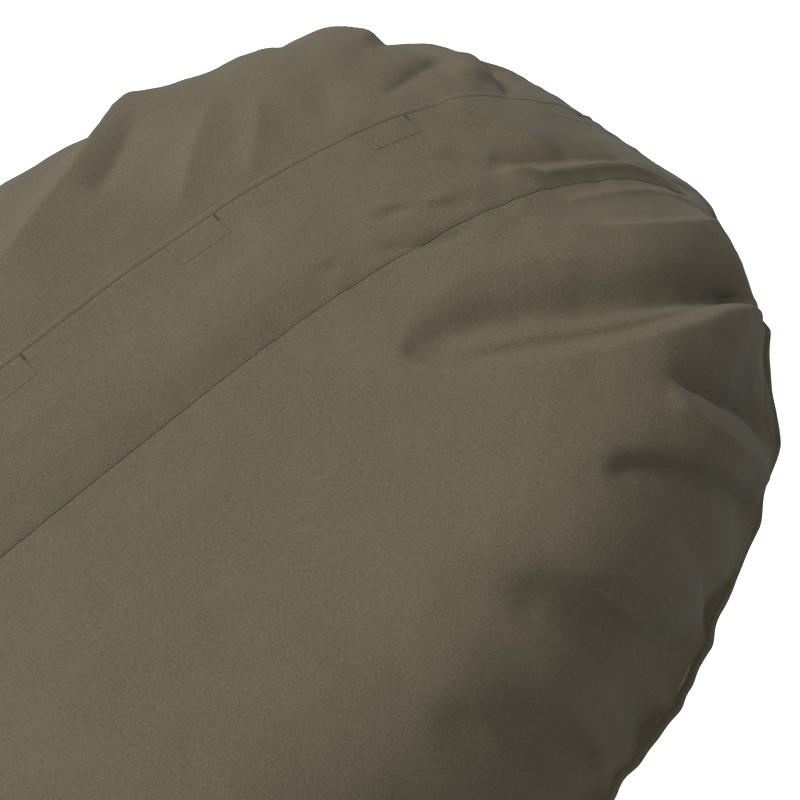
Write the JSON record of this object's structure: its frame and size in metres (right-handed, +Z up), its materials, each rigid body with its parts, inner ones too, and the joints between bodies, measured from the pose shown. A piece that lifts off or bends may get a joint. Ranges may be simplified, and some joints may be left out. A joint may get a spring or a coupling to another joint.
{
  "type": "bivy sack",
  "caption": "Long waterproof sleeping sack with a rounded head end, a taped perimeter seam and a zip under a wide storm flap held by closing patches.",
  "frame": {"origin": "on the ground under the middle of the sack's length and width, hang loop included", "axes": "+X from the foot end to the head end, +Z up, +Y toward the free edge of the storm flap"},
  "size_m": [2.24, 0.8582, 0.3119],
  "materials": {
    "top_cloth": "matte woven waterproof laminate",
    "floor_cloth": "matte woven coated cloth",
    "binding": "woven binding tape",
    "zip_tape": "woven zip tape",
    "zip_coil": "moulded nylon coil",
    "slider_metal": "dull painted die casting",
    "seal_tape": "smooth seam sealing tape",
    "hook_tape": "hook side of closing tape",
    "loop_tape": "loop side of closing tape",
    "thread": "sewing thread",
    "webbing": "woven webbing"
  },
  "bodies": {
    "sack": {"floor_panel": "floor_cloth", "near_top_panel": "top_cloth", "far_top_panel": "top_cloth", "perimeter_seam": "top_cloth", "seam_binding": "binding", "near_zip_tape": "zip_tape", "far_zip_tape": "zip_tape", "near_zip_coil": "zip_coil", "far_zip_coil": "zip_coil", "zip_head_stop": "slider_metal", "zip_foot_stop": "slider_metal", "root_seal_tape": "seal_tape", "panel_hook_patches": "hook_tape", "flap_head_end": "top_cloth", "flap_head_hem": "top_cloth", "head_hook_patches": "hook_tape", "head_loop_patches": "loop_tape", "head_bartacks": "thread", "foot_hang_loop": "webbing"},
    "flap": {"storm_flap": "top_cloth", "flap_hem": "top_cloth", "flap_loop_patches": "loop_tape", "flap_bartacks": "thread"},
    "head_slider": {"head_slider": "slider_metal", "head_outer_tab": "slider_metal"},
    "head_pull": {"head_inner_tab": "slider_metal"},
    "foot_slider": {"foot_slider": "slider_metal", "foot_outer_tab": "slider_metal"},
    "foot_pull": {"foot_inner_tab": "slider_metal"}
  },
  "joints": [
    {"name": "flap_lift", "type": "hinge", "parent": "sack", "child": "flap", "pos_m": [0.64, 0.008, 0.3062], "axis": [0.9988, 0, 0.0499], "range_deg": [0, 165]},
    {"name": "head_slide", "type": "slide", "parent": "sack", "child": "head_slider", "axis": [0.9988, 0, 0.0499], "range_m": [-1.12, 0]},
    {"name": "foot_slide", "type": "slide", "parent": "sack", "child": "foot_slider", "axis": [0.9988, 0, 0.0499], "range_m": [0, 1.12]},
    {"name": "head_pull_swing", "type": "hinge", "parent": "head_slider", "child": "head_pull", "pos_m": [0.6228, 0.05, 0.29763], "axis": [0, 1, 0], "range_deg": [-80, 80]},
    {"name": "foot_pull_swing", "type": "hinge", "parent": "foot_slider", "child": "foot_pull", "pos_m": [-0.5822, 0.05, 0.23738], "axis": [0, 1, 0], "range_deg": [-80, 80]}
  ]
}
